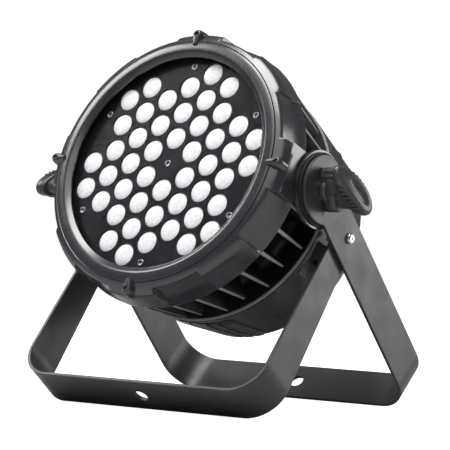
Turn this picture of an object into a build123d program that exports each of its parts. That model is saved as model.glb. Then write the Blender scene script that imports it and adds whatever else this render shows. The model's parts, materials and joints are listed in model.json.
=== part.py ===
from build123d import *
from math import acos, atan2, cos, degrees, hypot, radians, sin
import os

# LED par can on a double bracket.  Millimetres, +Z up, +X to the lamp's own left as it faces
# the viewer, the lamp shines towards -Y.  The lower edges of both brackets stand on Z = 0.

# ---------------------------------------------------------------- driving dimensions
head_elevation = 21.9        # the beam points this many degrees above the horizontal
yoke_lean = 42.0             # the main yoke leans back from the vertical by this angle

bar_width = 40.0             # flat steel bar of both brackets
bar_thickness = 3.0
bend_radius = 31.0           # outside of the bends
edge_round = 0.6             # rolled edges of the bar

yoke_half_span = 133.6       # outer faces of the yoke's arms
yoke_reach = 244.0           # tilt axis to the outer face of the yoke's base
yoke_end_radius = 30.0       # round ends of the yoke's arms
stand_half_span = 129.6      # outer faces of the stand's arms
stand_reach = 181.2          # fold hinge to the outer face of the stand's base
stand_end_radius = 14.3      # round ends of the stand's arms
stand_taper_end = 150.0      # the stand's arms reach full width this far from the hinge
hinge_down_arm = 57.5        # fold hinge, measured from the tilt axis down the yoke's arm
hinge_off_centre = 1.9       # and this far behind the arm's centre line
clamp_hole_radius = 6.5      # M12 clearance hole in each base
index_mark = (12.5, -16.2)   # shallow mark by each round end: along the arm, towards its front edge
index_mark_radius = 2.6
index_mark_depth = 0.4

tilt_pin_radius = 5.0        # M10 studs of the clamp knobs
fold_pin_radius = 3.0        # M6 hinge screws
running_gap = 0.05           # radial clearance of everything that turns or slides
body_gap = 0.3               # space between faces that pass each other

lens_pitch = 24.5            # hexagonal grid of the LEDs
lens_radius = 10.3
full_rings = 3               # complete hexagons round the empty centre, then one part ring

lens_plane = 50.6            # front of the lenses, ahead of the tilt axis
opening_radius = 99.5
casing_front_radius = 122.3
casing_rear_radius = 124.5
pocket_count = 8
pocket_angle = 23.0
fin_count = 32
fin_thickness = 2.6

# ---------------------------------------------------------------- places along the beam axis
# Every station is a height above the tilt axis along the beam, positive towards the light.
casing_front = lens_plane + 5.5
casing_rear = lens_plane - 27.0
ring_front = lens_plane + 8.7
ear_front = lens_plane + 10.3
ear_back = lens_plane - 2.0
glass_front = casing_front - 1.0
glass_back = glass_front - 3.0
plate_front = lens_plane - 0.5
plate_back = plate_front - 1.5
board_front = lens_plane - 14.0
board_back = board_front - 1.6
fins_front = casing_rear - 0.5
flange_front = lens_plane - 86.0
flange_back = flange_front - 3.5
housing_front = flange_back - 1.5
housing_rear = lens_plane - 164.3
cover_back = housing_rear - 6.0

rear_taper = 0.187           # the rear half narrows by this much per millimetre

ear_count = 4
ear_centre_radius = 120.3
ear_radius = 5.5
ear_neck = 5.0
counterbore_radius = 2.9
counterbore_depth = 3.0
ear_screw_radius = 1.5
ear_screw_depth = 11.0
glass_radius = 109.0
glass_seat_radius = 101.0
glass_seat_front = lens_plane + 0.5
lip_root_radius = 113.0
inner_wall_radius = 117.0
wall_slope_start = 119.5     # beside the ears the casing's front edge slopes from this radius
wall_slope_end = lens_plane - 2.5
wall_slope_angle = 21.0
pocket_floor_front = 119.4
pocket_floor_rear = 121.2
pocket_rear = lens_plane - 17.5
side_pad_face = 124.9        # flat pads on the casing's sides, under the pivot flanges
side_pad_height = 46.0
core_radius = 86.0
drum_inner_radius = 80.0
base_thickness = 10.0


def taper_radius(station):
    """Outer radius of the tapered rear half at a station along the beam."""
    return casing_rear_radius - rear_taper * (casing_rear - station)


# ---------------------------------------------------------------- where the lamp stands
lean = radians(yoke_lean)
tilt = radians(head_elevation)
half_bar = bar_width / 2 - edge_round

pivot_height = (yoke_reach - edge_round) * cos(lean) + half_bar * sin(lean) + edge_round
rear_extent = (yoke_reach - edge_round) * sin(lean) + half_bar * cos(lean) + edge_round
front_extent = ear_front * cos(tilt) + (ear_centre_radius + ear_radius) * sin(tilt)
pivot = Vector(0, (front_extent - rear_extent) / 2, pivot_height)

yoke_down = Vector(0, sin(lean), -cos(lean))
yoke_back = Vector(0, cos(lean), sin(lean))
hinge = pivot + yoke_down * hinge_down_arm + yoke_back * hinge_off_centre

# The stand opens until its own lower edge reaches the same floor as the yoke's.
stand_diagonal = hypot(stand_reach - edge_round, half_bar)
splay = atan2(half_bar, stand_reach - edge_round) + acos((hinge.Z - edge_round) / stand_diagonal)
stand_down = Vector(0, -sin(splay), -cos(splay))

across = Vector(1, 0, 0)
beam = Vector(0, -cos(tilt), sin(tilt))
head_up = Vector(0, sin(tilt), cos(tilt))
beam_axis = Axis(pivot, beam)


def head_at(station):
    """Plane square to the beam: local X across the lamp, local Y towards the lamp's top."""
    return Plane(origin=pivot + beam * station, x_dir=across, z_dir=beam)


def rear_at(station):
    """The same plane seen from behind: local Z points out of the lamp's back."""
    return Plane(origin=pivot + beam * station, x_dir=-across, z_dir=-beam)


def meridian(angle):
    """Half plane through the beam axis: local X is the radius, local Y runs along the beam."""
    spoke = across * cos(radians(angle)) + head_up * sin(radians(angle))
    return Plane(origin=pivot, x_dir=spoke, z_dir=spoke.cross(beam))


def mirrored(side):
    """Plane square to the tilt axis on one side (1 or -1), local Z pointing outwards."""
    return Plane(origin=pivot, x_dir=yoke_down, z_dir=across * side)


def save(piece, name):
    """Label one finished piece and write it to its own file."""
    piece.part.label = name
    export_step(piece.part, f"parts/{name}.step")


os.makedirs("parts", exist_ok=True)


# ---------------------------------------------------------------- brackets
# Each bracket is one bent bar: its front view is a ring, trimmed by its side view.
yoke_inner_face = yoke_half_span - bar_thickness
stand_inner_face = stand_half_span - bar_thickness
yoke_front_view = Plane(origin=pivot, x_dir=across, z_dir=yoke_back)
yoke_side_view = Plane(origin=pivot, x_dir=yoke_down, z_dir=across)

with BuildPart() as main_yoke:
    with BuildSketch(yoke_front_view):
        RectangleRounded(yoke_half_span * 2, yoke_reach * 2, bend_radius)
        RectangleRounded(
            yoke_inner_face * 2, (yoke_reach - bar_thickness) * 2, bend_radius - bar_thickness,
            mode=Mode.SUBTRACT,
        )
    extrude(amount=yoke_end_radius, both=True)
    with BuildSketch(yoke_side_view):
        Circle(yoke_end_radius)
        with Locations((yoke_reach / 2, 0)):
            Rectangle(yoke_reach, bar_width)
    extrude(amount=yoke_half_span, both=True, mode=Mode.INTERSECT)
    fillet(main_yoke.edges(), edge_round)
    with BuildSketch(yoke_side_view):
        Circle(tilt_pin_radius + running_gap)
        with Locations((hinge_down_arm, hinge_off_centre)):
            Circle(fold_pin_radius)
    extrude(amount=yoke_half_span, both=True, mode=Mode.SUBTRACT)
    for side in (1, -1):
        with BuildSketch(yoke_side_view.offset(yoke_half_span * side)):
            with Locations(index_mark):
                Circle(index_mark_radius)
        extrude(amount=-index_mark_depth * side, mode=Mode.SUBTRACT)
    with BuildSketch(Plane(origin=pivot + yoke_down * yoke_reach, x_dir=across, z_dir=yoke_down)):
        Circle(clamp_hole_radius)
    extrude(amount=-bar_thickness * 2, mode=Mode.SUBTRACT)

stand_back = across.cross(stand_down)
stand_front_view = Plane(origin=hinge, x_dir=across, z_dir=stand_back)
stand_side_view = Plane(origin=hinge, x_dir=stand_down, z_dir=across)

with BuildPart() as stand_bracket:
    with BuildSketch(stand_front_view):
        RectangleRounded(stand_half_span * 2, stand_reach * 2, bend_radius)
        RectangleRounded(
            stand_inner_face * 2, (stand_reach - bar_thickness) * 2, bend_radius - bar_thickness,
            mode=Mode.SUBTRACT,
        )
    extrude(amount=bar_width, both=True)
    with BuildSketch(stand_side_view):
        with BuildLine():
            Polyline(
                (0, -stand_end_radius), (stand_taper_end, -bar_width / 2),
                (stand_reach, -bar_width / 2), (stand_reach, bar_width / 2),
                (stand_taper_end, bar_width / 2), (0, stand_end_radius), close=True,
            )
        make_face()
        Circle(stand_end_radius)
    extrude(amount=stand_half_span, both=True, mode=Mode.INTERSECT)
    fillet(stand_bracket.edges(), edge_round)
    with BuildSketch(stand_side_view):
        Circle(fold_pin_radius + running_gap)
    extrude(amount=stand_half_span, both=True, mode=Mode.SUBTRACT)
    with BuildSketch(Plane(origin=hinge + stand_down * stand_reach, x_dir=across, z_dir=stand_down)):
        Circle(clamp_hole_radius)
    extrude(amount=-bar_thickness * 2, mode=Mode.SUBTRACT)

save(main_yoke, "main_yoke")
save(stand_bracket, "stand_bracket")

# ---------------------------------------------------------------- fold hinge hardware
screw_head_radius = 4.7
screw_head_height = 3.4
barrel_nut_radius = 3.9
barrel_nut_end = 111.5
nut_face = stand_inner_face - body_gap
spacer_radius = 9.0
spacer_thickness = 0.8


def hinge_side(side):
    """Plane square to the fold hinge on one side, local Z pointing outwards."""
    return Plane(origin=hinge, x_dir=yoke_down, z_dir=across * side)


with BuildPart() as hinge_screws:
    for side in (1, -1):
        with BuildSketch(hinge_side(side).offset(yoke_half_span)):
            Circle(screw_head_radius)
        extrude(amount=screw_head_height)
        with BuildSketch(hinge_side(side).offset(yoke_half_span)):
            Circle(fold_pin_radius)
        extrude(amount=barrel_nut_end + 4 - yoke_half_span)
    outer_rims = hinge_screws.edges().filter_by(GeomType.CIRCLE).group_by(SortBy.RADIUS)[-1]
    fillet([rim for rim in outer_rims if abs(rim.center().X) > yoke_half_span + 1], 2.0)
    for side in (1, -1):
        with BuildSketch(hinge_side(side).offset(yoke_half_span + screw_head_height)):
            Rectangle(5.0, 1.1)
            Rectangle(1.1, 5.0)
        extrude(amount=-1.6, mode=Mode.SUBTRACT)

with BuildPart() as hinge_barrel_nuts:
    for side in (1, -1):
        with BuildSketch(hinge_side(side).offset(barrel_nut_end)):
            Circle(barrel_nut_radius)
        extrude(amount=nut_face - barrel_nut_end)
    inner_rims = [
        rim for rim in hinge_barrel_nuts.edges().filter_by(GeomType.CIRCLE)
        if abs(rim.center().X) < barrel_nut_end + 1
    ]
    fillet(inner_rims, 2.2)
    for side in (1, -1):
        with BuildSketch(hinge_side(side).offset(barrel_nut_end + 4)):
            Circle(fold_pin_radius)
        extrude(amount=nut_face, mode=Mode.SUBTRACT)

with BuildPart() as hinge_spacers:
    for side in (1, -1):
        with BuildSketch(hinge_side(side).offset(yoke_inner_face)):
            Circle(spacer_radius)
            Circle(fold_pin_radius, mode=Mode.SUBTRACT)
        extrude(amount=-spacer_thickness)

save(hinge_screws, "hinge_screws")
save(hinge_barrel_nuts, "hinge_barrel_nuts")
save(hinge_spacers, "hinge_spacers")

# ---------------------------------------------------------------- front of the head
with BuildPart() as bezel_ring:
    with BuildSketch(meridian(0)):
        with BuildLine():
            Polyline(
                (opening_radius, glass_front), (opening_radius, casing_front),
                (opening_radius + 5.0, ring_front - 0.7), (opening_radius + 6.0, ring_front),
                (lip_root_radius - 1.9, ring_front), (lip_root_radius, ring_front - 1.5),
                (lip_root_radius, casing_front), (glass_radius, casing_front),
                (glass_radius, glass_front), close=True,
            )
        make_face()
    revolve(axis=beam_axis)
    with BuildSketch(head_at(casing_front)):
        with PolarLocations(ear_centre_radius, ear_count):
            Circle(ear_radius)
        with PolarLocations((ear_centre_radius + lip_root_radius) / 2 - 1, ear_count):
            Rectangle(ear_centre_radius - lip_root_radius + 2, ear_neck)
    extrude(amount=ear_front - casing_front)
    with BuildSketch(head_at(ear_front)):
        with PolarLocations(ear_centre_radius, ear_count):
            Circle(counterbore_radius)
    extrude(amount=-counterbore_depth, mode=Mode.SUBTRACT)
    with BuildSketch(head_at(ear_front)):
        with PolarLocations(ear_centre_radius, ear_count):
            Circle(ear_screw_radius)
    extrude(amount=casing_front - ear_front, mode=Mode.SUBTRACT)

with BuildPart() as front_casing:
    with BuildSketch(meridian(0)):
        with BuildLine():
            Polyline(
                (glass_seat_radius, plate_front), (glass_seat_radius, glass_seat_front),
                (glass_radius + 0.5, glass_seat_front), (glass_radius + 0.5, casing_front),
                (casing_front_radius - 1.5, casing_front), (casing_front_radius, casing_front - 1.5),
                (casing_rear_radius, casing_rear), (inner_wall_radius, casing_rear),
                (inner_wall_radius, plate_front), close=True,
            )
        make_face()
    revolve(axis=beam_axis)
    for ear in range(ear_count):
        with BuildSketch(meridian(ear * 360 / ear_count - wall_slope_angle / 2)):
            with BuildLine():
                Polyline(
                    (wall_slope_start, casing_front), (casing_rear_radius + 1, casing_front),
                    (casing_rear_radius + 1, wall_slope_end), (casing_rear_radius, wall_slope_end),
                    close=True,
                )
            make_face()
        revolve(axis=beam_axis, revolution_arc=wall_slope_angle, mode=Mode.SUBTRACT)
    for pocket in range(pocket_count):
        start = (pocket + 0.5) * 360 / pocket_count - pocket_angle / 2
        with BuildSketch(meridian(start)):
            with BuildLine():
                Polyline(
                    (pocket_floor_front, casing_front + 1), (casing_rear_radius + 5, casing_front + 1),
                    (casing_rear_radius + 5, pocket_rear), (pocket_floor_rear, pocket_rear), close=True,
                )
            make_face()
        revolve(axis=beam_axis, revolution_arc=pocket_angle, mode=Mode.SUBTRACT)
    with BuildSketch(head_at(casing_front)):
        with PolarLocations(ear_centre_radius, ear_count):
            Circle(ear_radius)
        Circle(inner_wall_radius, mode=Mode.SUBTRACT)
    extrude(amount=ear_back - casing_front)
    with BuildSketch(head_at(casing_rear)):
        with Locations((side_pad_face - 2.5, 0), (2.5 - side_pad_face, 0)):
            Rectangle(5, side_pad_height)
    extrude(amount=ear_back - casing_rear)
    with BuildSketch(head_at(casing_front)):
        with PolarLocations(ear_centre_radius, ear_count):
            Circle(ear_screw_radius)
    extrude(amount=-ear_screw_depth, mode=Mode.SUBTRACT)

with BuildPart() as glass_gasket:
    with BuildSketch(head_at(glass_seat_front)):
        Circle(glass_radius)
        Circle(glass_seat_radius + 1.5, mode=Mode.SUBTRACT)
    extrude(amount=glass_back - glass_seat_front)

with BuildPart() as front_glass:
    with BuildSketch(head_at(glass_back)):
        Circle(glass_radius)
    extrude(amount=glass_front - glass_back)
    chamfer(front_glass.edges().filter_by(GeomType.CIRCLE), 0.4)

ear_head_height = 2.2
with BuildPart() as bezel_screws:
    with BuildSketch(head_at(ear_front - counterbore_depth)):
        with PolarLocations(ear_centre_radius, ear_count):
            Circle(counterbore_radius - 0.2)
    extrude(amount=ear_head_height)
    with BuildSketch(head_at(ear_front - counterbore_depth)):
        with PolarLocations(ear_centre_radius, ear_count):
            Circle(ear_screw_radius)
    extrude(amount=-ear_screw_depth)
    with BuildSketch(head_at(ear_front - counterbore_depth + ear_head_height)):
        with PolarLocations(ear_centre_radius, ear_count):
            RegularPolygon(1.5, 6)
    extrude(amount=-1.4, mode=Mode.SUBTRACT)

save(bezel_ring, "bezel_ring")
save(front_casing, "front_casing")
save(glass_gasket, "glass_gasket")
save(front_glass, "front_glass")
save(bezel_screws, "bezel_screws")


# ---------------------------------------------------------------- LEDs and their optics
def grid_step(number):
    """Unit step of the hexagonal grid: 0 points up, and each next one turns clockwise by 60."""
    return Vector(sin(radians(60 * number)), cos(radians(60 * number)))


lens_centres = []
for ring in range(1, full_rings + 2):
    filled = range(ring) if ring <= full_rings else (1, 2)
    for corner in range(6):
        for step in filled:
            spot = grid_step(corner) * ring + grid_step(corner + 2) * step
            lens_centres.append((spot.X * lens_pitch, spot.Y * lens_pitch))

plate_screw_radius = 3.78 * lens_pitch
plate_screw_spots = [(0, 0)]
for corner in range(6):
    spot = grid_step(corner) * plate_screw_radius
    plate_screw_spots.append((spot.X, spot.Y))

plate_radius = inner_wall_radius - 0.6

with BuildPart() as lens_plate:
    with BuildSketch(head_at(plate_back)):
        Circle(plate_radius)
        with Locations(*lens_centres):
            Circle(lens_radius + 0.15, mode=Mode.SUBTRACT)
        with Locations(*plate_screw_spots):
            Circle(1.9, mode=Mode.SUBTRACT)
    extrude(amount=plate_front - plate_back)

lens_rim = 1.5
lens_root = board_front + 1.2
with BuildPart() as lenses:
    with BuildSketch(head_at(lens_plane - lens_rim)):
        with Locations(*lens_centres):
            Circle(lens_radius)
    extrude(amount=lens_rim)
    with BuildSketch(head_at(lens_plane - lens_rim)):
        with Locations(*lens_centres):
            Circle(lens_radius - 0.8)
    cone_height = lens_plane - lens_rim - lens_root
    extrude(amount=-cone_height, taper=degrees(atan2(5.5, cone_height)))

with BuildPart() as led_emitters:
    with BuildSketch(head_at(board_front)):
        with Locations(*lens_centres):
            Rectangle(3.5, 3.5)
    extrude(amount=0.9)

with BuildPart() as led_board:
    with BuildSketch(head_at(board_back)):
        Circle(plate_radius - 1.5)
        with Locations(*plate_screw_spots):
            Circle(2.0, mode=Mode.SUBTRACT)
    extrude(amount=board_front - board_back)

with BuildPart() as plate_screws:
    with BuildSketch(head_at(plate_front)):
        with Locations(*plate_screw_spots):
            Circle(3.2)
    extrude(amount=1.0)
    with BuildSketch(head_at(plate_front)):
        with Locations(*plate_screw_spots):
            Circle(1.7)
    extrude(amount=board_back - 6 - plate_front)
    with BuildSketch(head_at(plate_front + 1.0)):
        with Locations(*plate_screw_spots):
            RegularPolygon(1.5, 6)
    extrude(amount=-0.8, mode=Mode.SUBTRACT)

save(lens_plate, "lens_plate")
save(lenses, "lenses")
save(led_emitters, "led_emitters")
save(led_board, "led_board")
save(plate_screws, "plate_screws")

# ---------------------------------------------------------------- heat sink
block_half_height = 20.0
block_front = casing_rear - 0.2
block_rear = -28.0
block_root = core_radius - 3.0
block_face = 119.0
boss_radius = 23.0
flange_radius = 34.0
flange_face = 125.3
boss_face = 128.4
pad_radius = 32.0
pad_thickness = 2.0
fin_inset = 1.2              # the fins' edges lie this far inside the casing's own surface

with BuildPart() as heatsink:
    with BuildSketch(meridian(0)):
        with BuildLine():
            Polyline(
                (0, board_back), (inner_wall_radius - 0.6, board_back),
                (inner_wall_radius - 0.6, fins_front), (core_radius, fins_front - 3),
                (core_radius, flange_front + 3), (core_radius + 6, flange_front),
                (taper_radius(flange_front), flange_front), (taper_radius(flange_back), flange_back),
                (drum_inner_radius, flange_back), (drum_inner_radius, board_back - base_thickness),
                (0, board_back - base_thickness), close=True,
            )
        make_face()
    revolve(axis=beam_axis)
    for number in range(fin_count):
        angle = number * 360 / fin_count
        if number % (fin_count // 2) == 0:
            continue
        fin_rear = flange_front + (4 if number % 2 == 0 else 12)
        with BuildSketch(meridian(angle)):
            with BuildLine():
                Polyline(
                    (core_radius - 2, fins_front), (taper_radius(fins_front) - fin_inset, fins_front),
                    (taper_radius(fin_rear) - fin_inset, fin_rear),
                    (core_radius - 2, fin_rear - 3), close=True,
                )
            make_face()
        extrude(amount=fin_thickness / 2, both=True)
    with BuildSketch(head_at(board_back)):
        with Locations(*plate_screw_spots):
            Circle(1.7)
    extrude(amount=-6, mode=Mode.SUBTRACT)
    with BuildSketch(head_at(block_rear)):
        with Locations((block_root + 20, 0), (-block_root - 20, 0)):
            Rectangle(40, block_half_height * 2)
    extrude(amount=block_front - block_rear, mode=Mode.SUBTRACT)

insert_radius = 8.0
insert_inner_end = 106.0
insert_outer_end = 124.0
stud_inner_end = 108.0

with BuildPart() as pivot_bosses:
    for side in (1, -1):
        with BuildSketch(head_at(block_rear)):
            with Locations((side * (block_root + block_face) / 2, 0)):
                Rectangle(block_face - block_root, block_half_height * 2)
        extrude(amount=block_front - block_rear)
    fillet(pivot_bosses.edges().filter_by(Axis(pivot, across)), 4.0)
    for side in (1, -1):
        with BuildSketch(mirrored(side).offset(block_face)):
            Circle(boss_radius)
        extrude(amount=flange_face - block_face)
        with BuildSketch(mirrored(side).offset(flange_face)):
            Circle(flange_radius)
        extrude(amount=boss_face - flange_face)
        with BuildSketch(mirrored(side).offset(insert_inner_end)):
            Circle(insert_radius)
        extrude(amount=insert_outer_end - insert_inner_end, mode=Mode.SUBTRACT)
        with BuildSketch(mirrored(side).offset(insert_outer_end)):
            Circle(tilt_pin_radius + 1)
        extrude(amount=boss_face, mode=Mode.SUBTRACT)

with BuildPart() as threaded_inserts:
    for side in (1, -1):
        with BuildSketch(mirrored(side).offset(insert_inner_end)):
            Circle(insert_radius)
        extrude(amount=insert_outer_end - insert_inner_end)
        with BuildSketch(mirrored(side).offset(stud_inner_end - 0.5)):
            Circle(tilt_pin_radius + running_gap)
        extrude(amount=insert_outer_end, mode=Mode.SUBTRACT)

with BuildPart() as friction_pads:
    for side in (1, -1):
        with BuildSketch(mirrored(side).offset(boss_face)):
            Circle(pad_radius)
            Circle(tilt_pin_radius + 1, mode=Mode.SUBTRACT)
        extrude(amount=pad_thickness)

save(heatsink, "heatsink")
save(pivot_bosses, "pivot_bosses")
save(threaded_inserts, "threaded_inserts")
save(friction_pads, "friction_pads")

# ---------------------------------------------------------------- rear housing and cover
housing_wall = 3.0
seat_inner_radius = 84.0
seat_thickness = 6.0
cover_screw_ring = 89.0
rib_rise = 2.4
rib_front = lens_plane - 100.0
rib_rear = lens_plane - 160.0
rib_spans = {-104: 2.6, -98: 2.4, -90: 4.4, -82: 2.4, -76: 2.6}     # angle: half width, degrees
window_angles = (-24, 24, 156, 204)
window_face = 111.4
window_size = (34, 19)
window_station = lens_plane - 105.5

with BuildPart() as housing_gasket:
    with BuildSketch(head_at(flange_back)):
        Circle(taper_radius(flange_back) - 1.4)
        Circle(taper_radius(flange_back) - 8, mode=Mode.SUBTRACT)
    extrude(amount=housing_front - flange_back)

with BuildPart() as rear_housing:
    front_radius = taper_radius(housing_front)
    rear_radius = taper_radius(housing_rear)
    with BuildSketch(meridian(0)):
        with BuildLine():
            Polyline(
                (front_radius - 8, housing_front), (front_radius, housing_front),
                (rear_radius, housing_rear), (seat_inner_radius, housing_rear),
                (seat_inner_radius, housing_rear + seat_thickness),
                (rear_radius - housing_wall, housing_rear + seat_thickness),
                (front_radius - housing_wall - 0.5, housing_front - 4),
                (front_radius - 8, housing_front - 4), close=True,
            )
        make_face()
    revolve(axis=beam_axis)
    for angle, half_width in rib_spans.items():
        with BuildSketch(meridian(angle - half_width)):
            with BuildLine():
                Polyline(
                    (taper_radius(rib_front) - 1, rib_front), (taper_radius(rib_front) + 0.6, rib_front),
                    (taper_radius(rib_front - 8) + rib_rise, rib_front - 8),
                    (taper_radius(rib_rear) + rib_rise, rib_rear),
                    (taper_radius(rib_rear) - 1, rib_rear), close=True,
                )
            make_face()
        revolve(axis=beam_axis, revolution_arc=half_width * 2)
    for angle in window_angles:
        spoke = across * cos(radians(angle)) + head_up * sin(radians(angle))
        window_plane = Plane(origin=pivot + beam * window_station, x_dir=beam, z_dir=spoke)
        with BuildSketch(window_plane.offset(window_face)):
            RectangleRounded(window_size[1], window_size[0], 3)
        extrude(amount=-5)
        with BuildSketch(window_plane.offset(window_face)):
            SlotOverall(13, 4.6)
        extrude(amount=-3.0, mode=Mode.SUBTRACT)
    with BuildSketch(rear_at(housing_rear)):
        with PolarLocations(cover_screw_ring, 6, start_angle=30):
            Circle(1.8)
    extrude(amount=-seat_thickness, mode=Mode.SUBTRACT)

save(housing_gasket, "housing_gasket")
save(rear_housing, "rear_housing")

# Layout of the back, as seen from behind: local X to the viewer's right, local Y up.
panel_centre = (0, 38)
panel_size = (104, 46)
panel_thickness = 2.0
display_centre = (0, 48)
display_size = (46, 18)
button_row = 25.0
button_pitch = 20.0
button_radius = 4.5
button_rise = 2.4
gland_spots = {"power_gland": (-50, -30), "data_in_gland": (16, -30), "data_out_gland": (50, -30)}
gland_hex = 12.0
gland_nut_radius = 10.5
gland_thread_radius = 8.0
gland_bore_radius = 5.5
gland_length = 17.0
vent_spot = (-17, -30)
eye_spot = (0, -62)
button_spots = [((number - 1.5) * button_pitch, button_row) for number in range(4)]

with BuildPart() as rear_cover:
    cover_radius = taper_radius(housing_rear)
    with BuildSketch(meridian(0)):
        with BuildLine():
            Polyline(
                (0, cover_back), (cover_radius - 7, cover_back), (cover_radius - 1.2, housing_rear - 3),
                (cover_radius, housing_rear), (seat_inner_radius - 2, housing_rear),
                (seat_inner_radius - 2, cover_back + 3), (0, cover_back + 3), close=True,
            )
        make_face()
    revolve(axis=beam_axis)
    with BuildSketch(rear_at(cover_back + 3)):
        with Locations(display_centre):
            Rectangle(display_size[0] - 4, display_size[1] - 4)
        with Locations(*button_spots):
            Circle(button_radius + 0.6)
        with Locations(*gland_spots.values(), vent_spot):
            Circle(gland_thread_radius)
    extrude(amount=4, mode=Mode.SUBTRACT)
    with BuildSketch(rear_at(cover_back)):
        with PolarLocations(cover_screw_ring, 6, start_angle=30):
            Circle(2.1)
    extrude(amount=cover_back - housing_rear, mode=Mode.SUBTRACT)

with BuildPart() as cover_screws:
    with BuildSketch(rear_at(cover_back)):
        with PolarLocations(cover_screw_ring, 6, start_angle=30):
            Circle(3.6)
    extrude(amount=2.0)
    with BuildSketch(rear_at(cover_back)):
        with PolarLocations(cover_screw_ring, 6, start_angle=30):
            Circle(1.8)
    extrude(amount=cover_back - housing_rear - seat_thickness)
    with BuildSketch(rear_at(cover_back - 2.0)):
        with PolarLocations(cover_screw_ring, 6, start_angle=30):
            Rectangle(4.2, 0.9)
            Rectangle(0.9, 4.2)
    extrude(amount=-1.1, mode=Mode.SUBTRACT)

with BuildPart() as control_panel:
    with BuildSketch(rear_at(cover_back)):
        with Locations(panel_centre):
            RectangleRounded(*panel_size, 4)
        with Locations(display_centre):
            Rectangle(display_size[0] - 2, display_size[1] - 2, mode=Mode.SUBTRACT)
        with Locations(*button_spots):
            Circle(button_radius + running_gap, mode=Mode.SUBTRACT)
    extrude(amount=panel_thickness)
    with BuildSketch(rear_at(cover_back - panel_thickness)):
        with Locations(display_centre):
            Rectangle(*display_size)
    extrude(amount=-1.2, mode=Mode.SUBTRACT)

with BuildPart() as display_window:
    with BuildSketch(rear_at(cover_back - panel_thickness)):
        with Locations(display_centre):
            Rectangle(*display_size)
    extrude(amount=-1.2)

with BuildPart() as breather_vent:
    with BuildSketch(rear_at(cover_back + 6)):
        with Locations(vent_spot):
            Circle(gland_thread_radius)
    extrude(amount=6)
    with BuildSketch(rear_at(cover_back)):
        with Locations(vent_spot):
            RegularPolygon(gland_hex - 1.5, 6)
    extrude(amount=3)
    with BuildSketch(rear_at(cover_back - 3)):
        with Locations(vent_spot):
            Circle(7.5)
    extrude(amount=3)
    with BuildSketch(rear_at(cover_back - 4)):
        with Locations(vent_spot):
            with PolarLocations(7.5, 6):
                Circle(0.9)
    extrude(amount=-3.0, mode=Mode.SUBTRACT)

save(rear_cover, "rear_cover")
save(cover_screws, "cover_screws")
save(control_panel, "control_panel")
save(display_window, "display_window")
save(breather_vent, "breather_vent")

for name, spot in gland_spots.items():
    with BuildPart() as gland:
        with BuildSketch(rear_at(cover_back + 9)):
            with Locations(spot):
                Circle(gland_thread_radius)
        extrude(amount=9)
        with BuildSketch(rear_at(cover_back + 7)):
            with Locations(spot):
                RegularPolygon(gland_hex, 6)
        extrude(amount=4)
        with BuildSketch(rear_at(cover_back)):
            with Locations(spot):
                RegularPolygon(gland_hex, 6)
        extrude(amount=5)
        with BuildSketch(rear_at(cover_back - 5)):
            with Locations(spot):
                Circle(gland_nut_radius)
        extrude(amount=gland_length - 5)
        rims = gland.edges().filter_by(GeomType.CIRCLE).sort_by(Axis(pivot, -beam))
        fillet(rims[-1], 4.0)
        with BuildSketch(rear_at(cover_back - gland_length)):
            with Locations(spot):
                Circle(gland_bore_radius)
        extrude(amount=-gland_length, mode=Mode.SUBTRACT)
    save(gland, name)

with BuildPart() as gland_inserts:
    with BuildSketch(rear_at(cover_back - gland_length + 0.6)):
        with Locations(*gland_spots.values()):
            Circle(gland_bore_radius)
    extrude(amount=0.6 - gland_length)

save(gland_inserts, "gland_inserts")

for number, name in enumerate(("button_menu", "button_down", "button_up", "button_enter")):
    with BuildPart() as button:
        with BuildSketch(rear_at(cover_back - panel_thickness - button_rise)):
            with Locations(button_spots[number]):
                Circle(button_radius)
        extrude(amount=-(panel_thickness + button_rise + 2.0))
        rims = button.edges().filter_by(GeomType.CIRCLE)
        fillet(rims.sort_by(Axis(pivot, -beam))[-1], 0.8)
    save(button, name)

eye_wire = 3.0
eye_half_width = 13.0
eye_rise = 14.0
with BuildPart() as safety_eye:
    eye_plane = Plane(origin=rear_at(cover_back).from_local_coords(eye_spot), x_dir=across, z_dir=head_up)
    with BuildLine(eye_plane):
        eye_path = FilletPolyline(
            (-eye_half_width, 0), (-eye_half_width, eye_rise), (eye_half_width, eye_rise),
            (eye_half_width, 0), radius=9,
        )
    with BuildSketch(Plane(origin=eye_path @ 0, z_dir=eye_path % 0)):
        Circle(eye_wire)
    sweep()
    for side in (1, -1):
        with BuildSketch(rear_at(cover_back)):
            with Locations((eye_spot[0] + side * eye_half_width, eye_spot[1])):
                Circle(6.5)
        extrude(amount=2.0)

save(safety_eye, "safety_eye")

# ---------------------------------------------------------------- electronics inside
with BuildPart() as power_supply:
    with BuildSketch(head_at(board_back - base_thickness)):
        RectangleRounded(124, 78, 3)
    extrude(amount=-34)

with BuildPart() as driver_board:
    board_station = flange_back - 48
    with BuildSketch(head_at(board_station)):
        with Locations((0, 18)):
            Rectangle(110, 64)
    extrude(amount=-1.6)
    for column in range(4):
        with BuildSketch(head_at(board_station)):
            with Locations((column * 24 - 36, 34)):
                Circle(6)
        extrude(amount=11)
    with BuildSketch(head_at(board_station)):
        with Locations((-20, 4), (22, 4)):
            Rectangle(22, 22)
    extrude(amount=4)

with BuildPart() as board_standoffs:
    with BuildSketch(head_at(board_station - 1.6)):
        with Locations((0, 18)):
            with GridLocations(100, 54, 2, 2):
                RegularPolygon(3.2, 6)
    extrude(amount=cover_back + 3 - board_station + 1.6)

save(power_supply, "power_supply")
save(driver_board, "driver_board")
save(board_standoffs, "board_standoffs")

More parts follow.
